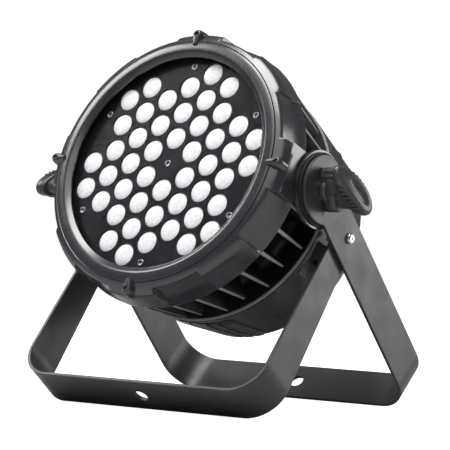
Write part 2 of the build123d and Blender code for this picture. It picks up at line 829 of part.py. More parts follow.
# ---------------------------------------------------------------- clamp knobs
# Each knob is a bar on the washer, a neck, and a leaning leaf-shaped cap.  Heights are distances
# from the lamp's middle; the cap's thick end points the way its knob happens to be turned.
washer_face = yoke_half_span + body_gap
washer_radius = 12.0
hub_face = washer_face + 1.2
hub_radius = 10.0
bar_face = 147.0
bar_length = 39.0
bar_depth = 14.0
bar_turn = 27.5              # degrees from the cap's long axis to the bar's
neck_shrink = 3.0
cap_half_length = 26.0
cap_half_width = 11.0
cap_underside = 156.5        # at the axis; it leans by this much per millimetre along the cap
cap_lean = 0.15
cap_crown = 168.2
cap_thin_end = 158.4
knob_face = 171.5
stud_outer_end = 160.0
dish_offset = 2.5
knob_turns = {"right": 0, "left": 116}     # degrees from the yoke's arm to the thick end


def knob_plane(side, turn):
    """Plane square to the tilt axis with local X towards the cap's thick end, local Z outwards."""
    turned = yoke_down * cos(radians(turn)) - yoke_back * sin(radians(turn))
    return Plane(origin=pivot, x_dir=turned, z_dir=across * side)


def knob_profile(side, turn):
    """Plane along the cap: local X towards its thick end, local Y outwards."""
    along = knob_plane(side, turn).x_dir
    return Plane(origin=pivot, x_dir=along, z_dir=along.cross(across * side))


for side, name in ((1, "right"), (-1, "left")):
    square = knob_plane(side, knob_turns[name])
    profile = knob_profile(side, knob_turns[name])
    with BuildPart() as stud:
        with BuildSketch(square.offset(stud_inner_end)):
            Circle(tilt_pin_radius)
        extrude(amount=stud_outer_end - stud_inner_end)
        chamfer(stud.edges().filter_by(GeomType.CIRCLE), 0.8)
    with BuildPart() as washer:
        with BuildSketch(square.offset(washer_face)):
            Circle(washer_radius)
            Circle(tilt_pin_radius, mode=Mode.SUBTRACT)
        extrude(amount=hub_face - washer_face)
    with BuildPart() as cap:
        with BuildSketch(profile):
            with BuildLine():
                ThreePointArc(
                    (cap_half_length, knob_face), (0, cap_crown), (-cap_half_length, cap_thin_end),
                )
                Polyline(
                    (-cap_half_length, cap_thin_end),
                    (-cap_half_length, cap_underside - cap_lean * cap_half_length),
                    (cap_half_length, cap_underside + cap_lean * cap_half_length),
                    (cap_half_length, knob_face),
                )
            make_face()
        extrude(amount=cap_half_width, both=True)
        with BuildSketch(square.offset(hub_face)):
            Ellipse(cap_half_length, cap_half_width)
        extrude(amount=knob_face - hub_face, mode=Mode.INTERSECT)
        with BuildSketch(square.offset(knob_face)):
            with Locations((dish_offset, 0)):
                Ellipse(cap_half_length / 2, cap_half_width / 2.6)
        extrude(amount=cap_crown - knob_face - 0.6, mode=Mode.SUBTRACT)
        with BuildSketch(square.offset(hub_face)):
            Circle(tilt_pin_radius)
        extrude(amount=stud_outer_end - hub_face, mode=Mode.SUBTRACT)
    with BuildPart() as grip:
        with BuildSketch(square.offset(bar_face)):
            Ellipse(cap_half_length - neck_shrink, cap_half_width - neck_shrink / 2)
        extrude(amount=knob_face - bar_face)
        with BuildSketch(profile):
            with BuildLine():
                Polyline(
                    (-cap_half_length, cap_underside - cap_lean * cap_half_length),
                    (cap_half_length, cap_underside + cap_lean * cap_half_length),
                    (cap_half_length, knob_face + 1), (-cap_half_length, knob_face + 1), close=True,
                )
            make_face()
        extrude(amount=cap_half_width, both=True, mode=Mode.SUBTRACT)
        with BuildSketch(square.offset(hub_face)):
            Circle(hub_radius)
            SlotOverall(bar_length, bar_depth, rotation=-bar_turn)
        extrude(amount=bar_face - hub_face)
        with BuildSketch(square.offset(hub_face)):
            Circle(tilt_pin_radius)
        extrude(amount=stud_outer_end - hub_face, mode=Mode.SUBTRACT)
    save(stud, f"knob_{name}_stud")
    save(washer, f"knob_{name}_washer")
    save(grip, f"knob_{name}_grip")
    save(cap, f"knob_{name}_cap")
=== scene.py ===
import json
import math

import bmesh
import bpy
from mathutils import Matrix, Vector


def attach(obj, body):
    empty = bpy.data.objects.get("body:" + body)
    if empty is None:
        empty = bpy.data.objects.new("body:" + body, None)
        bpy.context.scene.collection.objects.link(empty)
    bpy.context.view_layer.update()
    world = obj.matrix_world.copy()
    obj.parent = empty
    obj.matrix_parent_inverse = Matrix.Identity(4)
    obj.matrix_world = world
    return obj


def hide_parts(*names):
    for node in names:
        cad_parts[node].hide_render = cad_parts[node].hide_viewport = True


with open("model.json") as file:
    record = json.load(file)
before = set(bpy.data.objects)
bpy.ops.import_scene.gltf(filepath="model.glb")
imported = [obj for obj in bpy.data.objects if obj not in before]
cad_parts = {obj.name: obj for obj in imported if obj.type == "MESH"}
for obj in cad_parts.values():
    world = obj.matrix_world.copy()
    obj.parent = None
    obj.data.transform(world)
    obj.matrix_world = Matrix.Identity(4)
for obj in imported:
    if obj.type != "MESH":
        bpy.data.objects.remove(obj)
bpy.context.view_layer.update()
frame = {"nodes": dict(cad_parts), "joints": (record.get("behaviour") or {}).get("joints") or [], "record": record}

# ---------------------------------------------------------------- places, read from the frame
MM = 0.001
joints = {joint["name"]: joint for joint in frame["joints"]}
mounts = {mount["name"]: mount for mount in frame["record"]["mounts"]}
PIVOT = Vector(joints["head_tilt"]["pos_m"])
BEAM = Vector(joints["button_menu_press"]["axis"]).normalized()
ACROSS = Vector((1, 0, 0))
HEAD_UP = BEAM.cross(ACROSS)
YOKE_DOWN = Vector(mounts["yoke_clamp_hole"]["axis"]).normalized()
YOKE_BACK = ACROSS.cross(YOKE_DOWN)


def reach(node, direction):
    """How far a CAD node reaches from the tilt axis along a direction, in millimetres."""
    return max((v.co - PIVOT).dot(direction) for v in frame["nodes"][node].data.vertices) / MM


def placing(origin, x, y, z):
    """Matrix that takes millimetres along three directions to metres in the frame."""
    matrix = (Matrix((x, y, z)).transposed() * MM).to_4x4()
    matrix.translation = origin
    return matrix


# The head's own space: x across the lamp, y to its top, z along the beam from the lenses' front.
LENS_FRONT = reach("lenses", BEAM)
HEAD = placing(PIVOT + BEAM * LENS_FRONT * MM, ACROSS, HEAD_UP, BEAM)


# ---------------------------------------------------------------- mesh work
def polar(radius, degrees, height):
    """Point at this radius, angle and height."""
    angle = math.radians(degrees)
    return Vector((radius * math.cos(angle), radius * math.sin(angle), height))


def circle(radius, height, count, centre=(0, 0)):
    """Ring of points round a centre."""
    shift = Vector((*centre, 0))
    return [shift + polar(radius, 360 * k / count, height) for k in range(count)]


def hexagon(radius, height, count, centre):
    """Ring of points along a hexagon with this corner radius."""
    shift = Vector((*centre, 0))
    points = []
    for k in range(count):
        turn = 360 * k / count
        side = math.radians(turn % 60 - 30)
        points.append(shift + polar(radius * math.cos(math.pi / 6) / math.cos(side), turn, height))
    return points


def add_object(name, data):
    """Puts a new object into the scene."""
    made = bpy.data.objects.new(name, data)
    bpy.context.scene.collection.objects.link(made)
    return made


class Shells:
    """Collects closed shells, in millimetres of one placing matrix, into one mesh piece."""

    def __init__(self, matrix):
        self.matrix = matrix
        self.mesh = bmesh.new()

    def loft(self, rings, loop=False):
        """Skins rings of equally many points; the ends are capped, or joined when loop is set."""
        rows = [[self.mesh.verts.new(self.matrix @ point) for point in ring] for ring in rings]
        pairs = list(zip(rows, rows[1:]))
        if loop:
            pairs.append((rows[-1], rows[0]))
        for low, high in pairs:
            for k in range(len(low)):
                nxt = (k + 1) % len(low)
                self.mesh.faces.new((low[k], low[nxt], high[nxt], high[k]))
        if not loop:
            for row in (rows[0], rows[-1]):
                self.mesh.faces.new(row)

    def lathe(self, profile, count, centre=(0, 0)):
        """Turns an open profile of (radius, height) round the local z axis and caps its ends."""
        self.loft([circle(radius, height, count, centre) for radius, height in profile])

    def ring(self, profile, count=192):
        """Turns a closed profile of (radius, height) into a ring."""
        self.loft([circle(radius, height, count) for radius, height in profile], loop=True)

    def screw(self, side, socket, count, centre):
        """Turns a screw from (radius, height) up its side and down its hexagonal socket."""
        levels = [circle(radius, height, count, centre) for radius, height in side]
        levels += [hexagon(radius, height, count, centre) for radius, height in socket]
        self.loft(levels)

    def piece(self, name, slot, body, *nodes, sharp=35):
        """Makes the Blender object, smooth shaded; edges over this many degrees stay sharp."""
        bmesh.ops.recalc_face_normals(self.mesh, faces=self.mesh.faces)
        for face in self.mesh.faces:
            face.smooth = True
        for edge in self.mesh.edges:
            if len(edge.link_faces) == 2 and edge.calc_face_angle(0) > math.radians(sharp):
                edge.smooth = False
        data = bpy.data.meshes.new(name)
        self.mesh.to_mesh(data)
        self.mesh.free()
        made = add_object(name, data)
        data.materials.append(materials[slot])
        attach(made, body)
        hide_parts(*nodes)


# ---------------------------------------------------------------- materials
class Paint:
    """A principled material whose detail comes from procedural nodes in the object's own space."""

    def __init__(self, name, colour, roughness, **sockets):
        self.material = bpy.data.materials.new(name)
        self.material.use_nodes = True
        self.tree = self.material.node_tree
        self.shader = self.tree.nodes["Principled BSDF"]
        self.shader.inputs["Base Color"].default_value = (*colour, 1)
        self.shader.inputs["Roughness"].default_value = roughness
        for socket, value in sockets.items():
            self.shader.inputs[socket.replace("_", " ")].default_value = value
        self.colour = colour
        self.roughness = roughness
        self.position = self.node("ShaderNodeTexCoord").outputs["Object"]
        self.colour_source = None
        self.height = None

    def node(self, kind, **settings):
        """Adds a node and sets its properties."""
        made = self.tree.nodes.new(kind)
        for name, value in settings.items():
            setattr(made, name, value)
        return made

    def link(self, source, target):
        self.tree.links.new(source, target)

    def maths(self, operation, a, b=0.0, c=0.0):
        """A math node whose inputs are sockets or numbers."""
        made = self.node("ShaderNodeMath", operation=operation)
        for slot, value in enumerate((a, b, c)):
            if isinstance(value, (int, float)):
                made.inputs[slot].default_value = value
            else:
                self.link(value, made.inputs[slot])
        return made.outputs[0]

    def noise(self, size_mm, detail=3.0):
        """Cloudy noise with features of about this size."""
        made = self.node("ShaderNodeTexNoise")
        made.inputs["Scale"].default_value = 1 / (size_mm * MM)
        made.inputs["Detail"].default_value = detail
        self.link(self.position, made.inputs["Vector"])
        return made.outputs["Fac"]

    def spread(self, value, low, high, start=0.3, end=0.7):
        """The value between start and end, stretched to run from low to high."""
        made = self.node("ShaderNodeMapRange")
        self.link(value, made.inputs["Value"])
        made.inputs["From Min"].default_value = start
        made.inputs["From Max"].default_value = end
        made.inputs["To Min"].default_value = low
        made.inputs["To Max"].default_value = high
        return made.outputs["Result"]

    def along(self, direction, origin):
        """Distance of the shaded point from a place along a direction, in millimetres."""
        shift = self.node("ShaderNodeVectorMath", operation="SUBTRACT")
        self.link(self.position, shift.inputs[0])
        shift.inputs[1].default_value = origin
        made = self.node("ShaderNodeVectorMath", operation="DOT_PRODUCT")
        self.link(shift.outputs[0], made.inputs[0])
        made.inputs[1].default_value = direction
        return self.maths("DIVIDE", made.outputs["Value"], MM)

    def mix(self, factor, a, b):
        """Colour between a and b; each is a socket or a tuple."""
        made = self.node("ShaderNodeMix", data_type="RGBA")
        self.link(factor, made.inputs["Factor"])
        for name, value in (("A", a), ("B", b)):
            if isinstance(value, tuple):
                made.inputs[name].default_value = (*value, 1)
            else:
                self.link(value, made.inputs[name])
        self.colour_source = made.outputs["Result"]
        self.link(self.colour_source, self.shader.inputs["Base Color"])
        return self

    def vary_roughness(self, size_mm, amount):
        """Raises and lowers the roughness by cloudy noise."""
        value = self.spread(self.noise(size_mm), self.roughness - amount, self.roughness + amount)
        self.link(value, self.shader.inputs["Roughness"])
        return self

    def vary_colour(self, size_mm, amount):
        """Mixes a darker and a lighter tone of the colour by cloudy noise."""
        dark = tuple(c * (1 - amount) for c in self.colour)
        light = tuple(min(1, c * (1 + amount)) for c in self.colour)
        return self.mix(self.spread(self.noise(size_mm), 0, 1), dark, light)

    def bump(self, size_mm, depth_mm, detail=2.0):
        """Adds a fine relief; several add up."""
        made = self.node("ShaderNodeBump")
        made.inputs["Strength"].default_value = 1
        made.inputs["Distance"].default_value = depth_mm * MM
        self.link(self.noise(size_mm, detail), made.inputs["Height"])
        if self.height:
            self.link(self.height, made.inputs["Normal"])
        self.height = made.outputs["Normal"]
        self.link(self.height, self.shader.inputs["Normal"])
        return self


# The fins' edges lie on a cone that grows by REAR_TAPER along the beam and stays FIN_INSET inside
# the casing's rear edge. FIN_EDGE_RADIUS is its radius at the tilt axis.
CASING_REAR_RADIUS = 124.5
CASING_DEPTH = 27.0          # from the lenses' front back to that edge
FIN_INSET = 1.2
REAR_TAPER = 0.187
FIN_EDGE_RADIUS = CASING_REAR_RADIUS - FIN_INSET - REAR_TAPER * (LENS_FRONT - CASING_DEPTH)
# Colour of the painted highlight along the fins' outer edges.
FIN_EDGE_HIGHLIGHT_TONE = (0.3, 0.3, 0.29)


def paint_fin_edge_highlight(paint):
    """Paints a highlight on the fins' outer edges, found by their distance from the beam axis."""
    x = paint.along(ACROSS, PIVOT)
    y = paint.along(HEAD_UP, PIVOT)
    z = paint.along(BEAM, PIVOT)
    squares = paint.maths("ADD", paint.maths("MULTIPLY", x, x), paint.maths("MULTIPLY", y, y))
    radius = paint.maths("SQRT", squares)
    cone = paint.maths("MULTIPLY_ADD", z, REAR_TAPER, FIN_EDGE_RADIUS)
    # Painted highlight mask: 1 on the fins' outer edges, fading to 0 inside them.
    edge = paint.spread(paint.maths("SUBTRACT", radius, cone), 0, 1, -0.9, -0.3)
    return paint.mix(edge, paint.colour_source, FIN_EDGE_HIGHLIGHT_TONE)


def make_materials():
    """One material for each material slot of the record."""
    made = {}

    def add(slot, paint):
        made[slot] = paint.material

    add("bracket_steel", Paint("powder_coat", (0.036, 0.036, 0.038), 0.40)
        .vary_roughness(18, 0.05).vary_colour(35, 0.10).bump(0.8, 0.03).bump(5, 0.03))
    add("casting_black", Paint("satin_casting", (0.024, 0.024, 0.0275), 0.26, IOR=1.75)
        .vary_roughness(22, 0.04).vary_colour(40, 0.12).bump(0.7, 0.012).bump(9, 0.010))
    add("screw_steel", Paint("zinc_steel", (0.72, 0.73, 0.75), 0.24, Metallic=1.0)
        .vary_roughness(3, 0.06).bump(0.8, 0.01))
    add("screw_black", Paint("black_oxide", (0.34, 0.34, 0.35), 0.2, Metallic=1.0)
        .vary_roughness(3, 0.05).bump(0.6, 0.006))
    add("clear_glass", Paint("clear_glass", (0.01, 0.01, 0.01), 0.03, Alpha=0.06)
        .vary_roughness(60, 0.01))
    # A little light of their own stands in for what the optics send back from behind.
    add("lens_optic", Paint("frosted_lens", (0.84, 0.84, 0.86), 0.32, Emission_Strength=0.20,
                            Emission_Color=(0.92, 0.92, 0.95, 1))
        .vary_colour(2.4, 0.18).bump(1.6, 0.16))
    add("mask_black", Paint("matt_mask", (0.0062, 0.0058, 0.0085), 0.32,
                            Specular_IOR_Level=0.3)
        .vary_roughness(25, 0.05).vary_colour(30, 0.15).bump(0.35, 0.006))
    add("seal_rubber", Paint("seal_rubber", (0.010, 0.010, 0.010), 0.7)
        .vary_roughness(6, 0.06).bump(0.6, 0.03))
    add("led_chip", Paint("phosphor", (0.9, 0.75, 0.2), 0.5).vary_colour(1, 0.1))
    add("board_green", Paint("solder_mask", (0.02, 0.14, 0.06), 0.35)
        .vary_colour(4, 0.2).bump(2, 0.02))
    # The fins' outer edges carry a painted highlight.
    add("heatsink_aluminium", paint_fin_edge_highlight(Paint("black_anodised", (0.006, 0.006, 0.006), 0.5)
        .vary_roughness(12, 0.06).vary_colour(9, 0.2)).bump(0.8, 0.02))
    add("inner_metal", Paint("bare_aluminium", (0.7, 0.7, 0.72), 0.35, Metallic=1.0)
        .vary_roughness(6, 0.06))
    add("knob_plastic", Paint("textured_nylon", (0.046, 0.046, 0.048), 0.32)
        .vary_roughness(6, 0.05).vary_colour(8, 0.12).bump(0.5, 0.02).bump(3, 0.03))
    add("panel_plastic", Paint("panel_plastic", (0.04, 0.04, 0.044), 0.5)
        .vary_roughness(8, 0.05).vary_colour(20, 0.1).bump(0.5, 0.02))
    add("display_tint", Paint("display_window", (0.01, 0.012, 0.02), 0.08)
        .vary_roughness(20, 0.02).vary_colour(30, 0.2))
    add("button_rubber", Paint("button_rubber", (0.1, 0.1, 0.11), 0.6)
        .vary_roughness(3, 0.05).vary_colour(5, 0.1).bump(0.6, 0.02))
    return made


materials = make_materials()
for entry in frame["record"]["subparts"]:
    node = frame["nodes"][entry["node"]]
    node.data.materials.clear()
    node.data.materials.append(materials[entry["material_slot"]])


# ---------------------------------------------------------------- front casing
# Outer profiles from the lip's foot to the rear edge, as (radius, height over the lenses).
# A land stands between two pockets; a pad is the flat land on each side of the lamp.
LAND = (
    (113.5, 5.4), (113.6, 6.9), (114.2, 7.2), (116.5, 6.2), (118.8, 5.0),
    (120.9, 3.6), (122.5, 2.0), (123.4, 0.0), (123.8, -2.6), (123.9, -8.0),
    (124.0, -16.0), (124.2, -20.0), (124.4, -24.0), (124.5, -26.3), (124.1, -27.0),
)
POCKET = (
    (113.5, 5.4), (113.6, 6.9), (114.2, 7.2), (116.0, 6.4), (117.4, 5.7),
    (118.3, 4.9), (118.8, 3.8), (119.0, 2.4), (119.3, -4.0), (119.8, -11.0),
    (120.7, -16.5), (122.1, -20.5), (123.6, -24.0), (124.1, -26.3), (123.8, -27.0),
)
PAD = (
    (113.5, 5.4), (113.6, 6.9), (114.2, 7.2), (116.5, 6.2), (118.8, 5.0),
    (121.0, 3.4), (123.0, 1.2), (124.4, -1.2), (124.9, -2.6), (124.9, -8.0),
    (124.9, -14.0), (124.9, -20.0), (124.9, -24.0), (124.9, -26.5), (124.5, -27.0),
)
CASING_INSIDE = ((117.0, -27.0), (117.0, 2.0), (110.0, 3.0), (110.0, 5.3))
FLAT_FROM = 8                # from this point on, a pad's profile is flat instead of round
POCKET_COUNT = 8
POCKET_STEP = 360 / POCKET_COUNT
# Half widths in degrees, and the degrees over which a pocket's end or a pad's edge rises.
POCKET_HALF = 11.5
POCKET_DRAFT = 0.55
PAD_HALF = 10.6
PAD_DRAFT = 0.3
EVEN_STEPS = 20              # sections round the ring from one pocket to the next
POCKET_DRAFT_STEPS = 4
PAD_DRAFT_STEPS = 2


def rise(value, start, end):
    """Smooth step from 0 at start to 1 at end."""
    t = min(1.0, max(0.0, (value - start) / (end - start)))
    return t * t * (3 - 2 * t)


def casing_column(angle):
    """The casing's closed section at one angle round the beam."""
    off_pocket = abs(angle % POCKET_STEP - POCKET_STEP / 2)
    sunk = 1 - rise(off_pocket, POCKET_HALF - POCKET_DRAFT, POCKET_HALF)
    off_side = min(angle % 180, 180 - angle % 180)
    flat = 1 - rise(off_side, PAD_HALF - PAD_DRAFT, PAD_HALF)
    column = []
    for index, (land, pocket, pad) in enumerate(zip(LAND, POCKET, PAD)):
        pad_radius = pad[0]
        if index >= FLAT_FROM:
            pad_radius = pad[0] / math.cos(math.radians(off_side))
        radius = land[0] * (1 - flat) + pad_radius * flat
        height = land[1] * (1 - flat) + pad[1] * flat
        radius += (pocket[0] - radius) * sunk
        height += (pocket[1] - height) * sunk
        column.append(polar(radius, angle, height))
    column += [polar(radius, angle, height) for radius, height in CASING_INSIDE]
    return column


def casing_angles():
    """Even steps round the ring, with more of them across each pocket's ends and pad's edges."""
    angles = set()
    for number in range(POCKET_COUNT):
        middle = (number + 0.5) * POCKET_STEP
        start = middle - POCKET_STEP / 2
        angles.update(start + POCKET_STEP / EVEN_STEPS * k for k in range(EVEN_STEPS))
        for side in (1, -1):
            angles.update(middle + side * (POCKET_HALF - POCKET_DRAFT * k / POCKET_DRAFT_STEPS)
                          for k in range(POCKET_DRAFT_STEPS + 1))
    for middle in (0, 180):
        for side in (1, -1):
            angles.update((middle + side * (PAD_HALF - PAD_DRAFT * k / PAD_DRAFT_STEPS)) % 360
                          for k in range(PAD_DRAFT_STEPS + 1))
    return sorted(round(angle, 4) for angle in angles)


def make_casing():
    """The ring-shaped casing with its eight pockets."""
    shells = Shells(HEAD)
    shells.loft([casing_column(angle) for angle in casing_angles()], loop=True)
    shells.piece("casing_shell", "casting_black", "head", "front_casing", sharp=32)


make_casing()

# ---------------------------------------------------------------- bezel ring, its ears and screws
# Closed section of the lip, as (radius, height over the lenses).
LIP = (
    (99.5, 4.6), (99.6, 5.8), (99.9, 6.1), (103.2, 8.05), (104.0, 8.5),
    (104.9, 8.8), (106.0, 8.92), (108.2, 8.7), (110.4, 8.4), (112.6, 8.0),
    (113.1, 7.7), (113.3, 7.1), (113.3, 5.5), (109.2, 5.4), (109.2, 4.6),
)
EAR_COUNT = 4
EAR_STEP = 90                # degrees from one ear to the next
EAR_RADIUS = 120.3           # the ears' screws lie on this circle
EAR_ROOT = 110.6             # where an ear's neck runs into the lip
EAR_LEVELS = (               # height, end radius, half width of the neck at the lip
    (-2.0, 5.5, 5.5), (1.0, 5.45, 5.2), (4.5, 5.2, 4.6), (6.5, 4.9, 3.8),
    (8.3, 4.4, 2.7), (9.4, 3.95, 2.0), (10.0, 3.55, 1.5), (10.3, 3.1, 1.1),
)
EAR_HOLE = ((10.3, 2.6), (10.0, 2.3), (7.3, 2.2))
EAR_POINTS = 40
EAR_BEND = 24                # of those, the steps round the outer end
EAR_WRAP = 100               # degrees that the round end reaches to each side
EAR_SCREW = ((1.3, -3.6), (1.3, 7.0), (2.1, 7.0), (2.1, 8.6), (1.85, 8.9))
EAR_SCREW_SOCKET = ((1.35, 8.9), (1.3, 7.6))
EAR_SCREW_POINTS = 24


def teardrop(height, radius, neck):
    """Outline of an ear: round outer end, straight flanks narrowing into the lip."""
    points = []
    for k in range(EAR_BEND + 1):
        turn = -EAR_WRAP + 2 * EAR_WRAP * k / EAR_BEND
        points.append(polar(radius, turn, height) + Vector((EAR_RADIUS, 0, 0)))
    start, end = points[-1], points[0]
    flank = (EAR_POINTS - EAR_BEND - 1) // 2
    root_high = Vector((EAR_ROOT, neck, height))
    root_low = Vector((EAR_ROOT, -neck, height))
    for k in range(1, flank + 1):
        points.append(start.lerp(root_high, k / flank))
    for k in range(EAR_POINTS - len(points)):
        points.append(root_low.lerp(end, k / (EAR_POINTS - EAR_BEND - 1 - flank)))
    return points


def ear_hole(height, radius):
    """Ring of the ear's hole, with as many points as its outline."""
    outline = teardrop(height, 1, 1)
    ring = []
    for point in outline:
        away = Vector((point.x - EAR_RADIUS, point.y, 0))
        ring.append(Vector((EAR_RADIUS, 0, height)) + away.normalized() * radius)
    return ring


def turned(rings, degrees):
    """The same rings, turned round the beam."""
    turn = Matrix.Rotation(math.radians(degrees), 3, "Z")
    return [[turn @ point for point in ring] for ring in rings]


def make_bezel():
    """The proud lip with its four ears, and the screws in them."""
    shells = Shells(HEAD)
    shells.ring(LIP)
    ear = [teardrop(*level) for level in EAR_LEVELS]
    ear += [ear_hole(height, radius) for height, radius in EAR_HOLE]
    for number in range(EAR_COUNT):
        shells.loft(turned(ear, EAR_STEP * number))
    shells.piece("bezel_lip", "casting_black", "head", "bezel_ring", sharp=40)

    screws = Shells(HEAD)
    for number in range(EAR_COUNT):
        centre = polar(EAR_RADIUS, EAR_STEP * number, 0).to_2d()
        screws.screw(EAR_SCREW, EAR_SCREW_SOCKET, EAR_SCREW_POINTS, centre)
    screws.piece("bezel_ear_screws", "screw_black", "head", "bezel_screws")


make_bezel()

# ---------------------------------------------------------------- lenses and plate screws
LENS_PITCH = 24.5
# Half section of one lens from its top to its stem, as (radius, height over the lenses).
LENS_PROFILE = (
    (0.6, 0.10), (3.0, 0.02), (5.5, -0.25), (7.4, -0.62), (8.2, -0.86),
    (8.5, -1.12), (8.8, -1.12), (9.5, -1.5), (10.0, -1.95), (10.3, -2.5),
    (10.3, -3.2), (9.5, -3.8), (4.2, -12.6),
)
LENS_POINTS = 40
FULL_RINGS = 3
LAST_RING_STEPS = (1, 2)     # the outermost hexagon holds lenses only at these steps of a side
PLATE_SCREW_REACH = 3.78     # from the middle, in lens pitches
PLATE_SCREW = (
    (1.6, -19.0), (1.6, -0.5), (3.2, -0.5), (3.3, -0.2), (3.1, 0.25), (2.7, 0.5), (2.2, 0.45),
)
PLATE_SCREW_SOCKET = ((1.75, 0.2), (1.6, -0.4))
PLATE_SCREW_POINTS = 30


def corner_direction(corner):
    """Direction of a corner of the lens grid's hexagons; corner 0 is at the top."""
    turn = math.radians(60 * corner)
    return Vector((math.sin(turn), math.cos(turn)))


def lens_spots():
    """Centres of the 48 lenses: three full hexagons round an empty centre, then a part one."""
    corners = [corner_direction(k) for k in range(6)]
    spots = []
    for ring in range(1, FULL_RINGS + 2):
        for corner in range(6):
            for step in range(ring) if ring <= FULL_RINGS else LAST_RING_STEPS:
                spot = corners[corner] * ring + corners[(corner + 2) % 6] * step
                spots.append(spot * LENS_PITCH)
    return spots


def make_lenses():
    """The frosted lenses, and the seven screws that hold the black plate between them."""
    shells = Shells(HEAD)
    for spot in lens_spots():
        shells.lathe(LENS_PROFILE, LENS_POINTS, spot)
    shells.piece("lens_array", "lens_optic", "head", "lenses", sharp=50)

    screws = Shells(HEAD)
    spots = [Vector((0, 0))]
    spots += [corner_direction(k) * LENS_PITCH * PLATE_SCREW_REACH for k in range(6)]
    for spot in spots:
        screws.screw(PLATE_SCREW, PLATE_SCREW_SOCKET, PLATE_SCREW_POINTS, spot)
    screws.piece("mask_screws", "screw_black", "head", "plate_screws", sharp=50)


make_lenses()

# ---------------------------------------------------------------- heat sink
FIN_COUNT = 32
CORE_RADIUS = 86.0           # of the drum between the fins
CORE_HOLLOW = 80.0           # radius of the open middle behind the base plate
BASE_RADIUS = 116.2
BASE_FRONT = -15.7
BASE_BACK = -25.6
FIN_FRONT = -27.4
FLANGE_FRONT = -86.0
FLANGE_BACK = -89.5
DRUM_POINTS = 128
FIN_SETBACKS = (4, 12)       # fins end this far ahead of the flange, every other one shorter
FIN_HALF_THICKNESS = 1.95
FIN_THINNING = 0.75          # taken off the half thickness from front to rear


def fin_radius(height):
    """Radius of the fins' outer edges at a height over the lenses."""
    return FIN_EDGE_RADIUS + REAR_TAPER * (height + LENS_FRONT)


def make_fin(number):
    """Sections of one fin along the beam, turned to its place."""
    rear = FLANGE_FRONT + FIN_SETBACKS[number % 2]
    stations = (FIN_FRONT, FIN_FRONT - 20, rear + 20, rear + 2.2, rear + 0.8, rear)
    drops = (0.0, 0.0, 0.0, 0.2, 0.9, 2.4)       # the rear corner's rounding
    rings = []
    for station, drop in zip(stations, drops):
        share = FIN_THINNING * (FIN_FRONT - station) / (FIN_FRONT - rear)
        half = FIN_HALF_THICKNESS - share
        top = fin_radius(station) - drop
        section = [(CORE_RADIUS - 2, -half), (top - 0.8, -half), (top - 0.2, -half * 0.65)]
        section += [(top, 0), (top - 0.2, half * 0.65), (top - 0.8, half), (CORE_RADIUS - 2, half)]
        rings.append([Vector((radius, offset, station)) for radius, offset in section])
    return turned(rings, number * 360 / FIN_COUNT)


def make_heatsink():
    """Base plate, drum and flange in one turned shell, with the fins; none under the bosses."""
    shells = Shells(HEAD)
    outer = fin_radius(FLANGE_FRONT) + 1.0
    shells.lathe((
        (1.0, BASE_FRONT), (BASE_RADIUS, BASE_FRONT), (BASE_RADIUS, FIN_FRONT),
        (CORE_RADIUS, FIN_FRONT - 3), (CORE_RADIUS, FLANGE_FRONT + 6),
        (CORE_RADIUS + 2, FLANGE_FRONT + 2), (CORE_RADIUS + 6, FLANGE_FRONT),
        (outer - 0.4, FLANGE_FRONT), (outer, FLANGE_FRONT - 0.5), (outer - 0.6, FLANGE_BACK),
        (CORE_HOLLOW, FLANGE_BACK), (CORE_HOLLOW, BASE_BACK), (1.0, BASE_BACK),
    ), DRUM_POINTS)
    for number in range(FIN_COUNT):
        if number % (FIN_COUNT // 2) != 0:
            shells.loft(make_fin(number))
    shells.piece("finned_drum", "heatsink_aluminium", "head", "heatsink", sharp=45)


make_heatsink()

# ---------------------------------------------------------------- clamp knobs
# Heights are distances from the lamp's middle, along the tilt axis.
# Local x runs along the cap, from its thin end to its thick end.
KNOB_TURNS = {"right": 0.0, "left": 116.0}       # degrees from the yoke's arm
KNOB_FOOT = 135.1
BAR_FACE = 147.0
BAR_TURN = 27.5
BAR_HALF_LENGTH = 19.5
BAR_HALF_WIDTH = 7.0
BAR_LEVELS = (               # height, how far the outline is drawn in
    (KNOB_FOOT, 0.5), (KNOB_FOOT + 0.7, 0.0), (BAR_FACE - 1.2, 0.0), (BAR_FACE - 0.3, 0.4),
    (BAR_FACE, 1.2),
)
COLLAR = (
    (10.2, KNOB_FOOT), (10.6, KNOB_FOOT + 0.6), (10.6, KNOB_FOOT + 3.0), (9.4, KNOB_FOOT + 4.5),
)
COLLAR_POINTS = 48
NECK_HALF_LENGTH = 17.8
NECK_HALF_WIDTH = 8.8
NECK_SHIFT = 3.2
NECK_ROOT = 3                # how far the neck is sunk into the bar
NECK_LEVELS = ((0.0, 0.92), (0.3, 0.90), (0.8, 0.96), (1.0, 1.0))    # share of height, size
FOOT_RIDGES = ((-16.6, 4.4), (-13.8, 1.2))       # local x and y
FOOT_RIDGE_RADIUS = 2.2
FOOT_RIDGE_TAPER = 0.9
CAP_HALF_LENGTH = 26.0
CAP_HALF_WIDTH = 11.0
CAP_UNDERSIDE = 156.5        # height of the underside at the middle, and its rise along x
CAP_LEAN = 0.15
KNOB_TIP = 171.4             # height of the crown at the thick end, and how fast it falls
CROWN_FALL = 0.0048
CAP_LEVELS = (               # share of height, size
    (0.0, 0.86), (0.0, 0.93), (0.06, 0.97), (0.16, 0.99), (0.45, 1.0),
    (0.68, 0.99), (0.82, 0.965), (0.92, 0.92), (0.98, 0.86), (1.0, 0.79),
)
DISH_SHIFT = 2.5
DISH_WIDTH = 0.8
DISH_LEVELS = (              # size, depth under the crown
    (0.56, 0.0), (0.52, 0.12), (0.49, 0.6), (0.45, 1.2), (0.34, 1.75), (0.16, 2.0),
)
RIB_COUNT = 7
RIB_START = -15.5
RIB_STEP = 4.4
RIB_RADIUS = 1.0
RIB_STANDOFF = 0.6
RIB_LEAN = 0.35
ROD_POINTS = 14


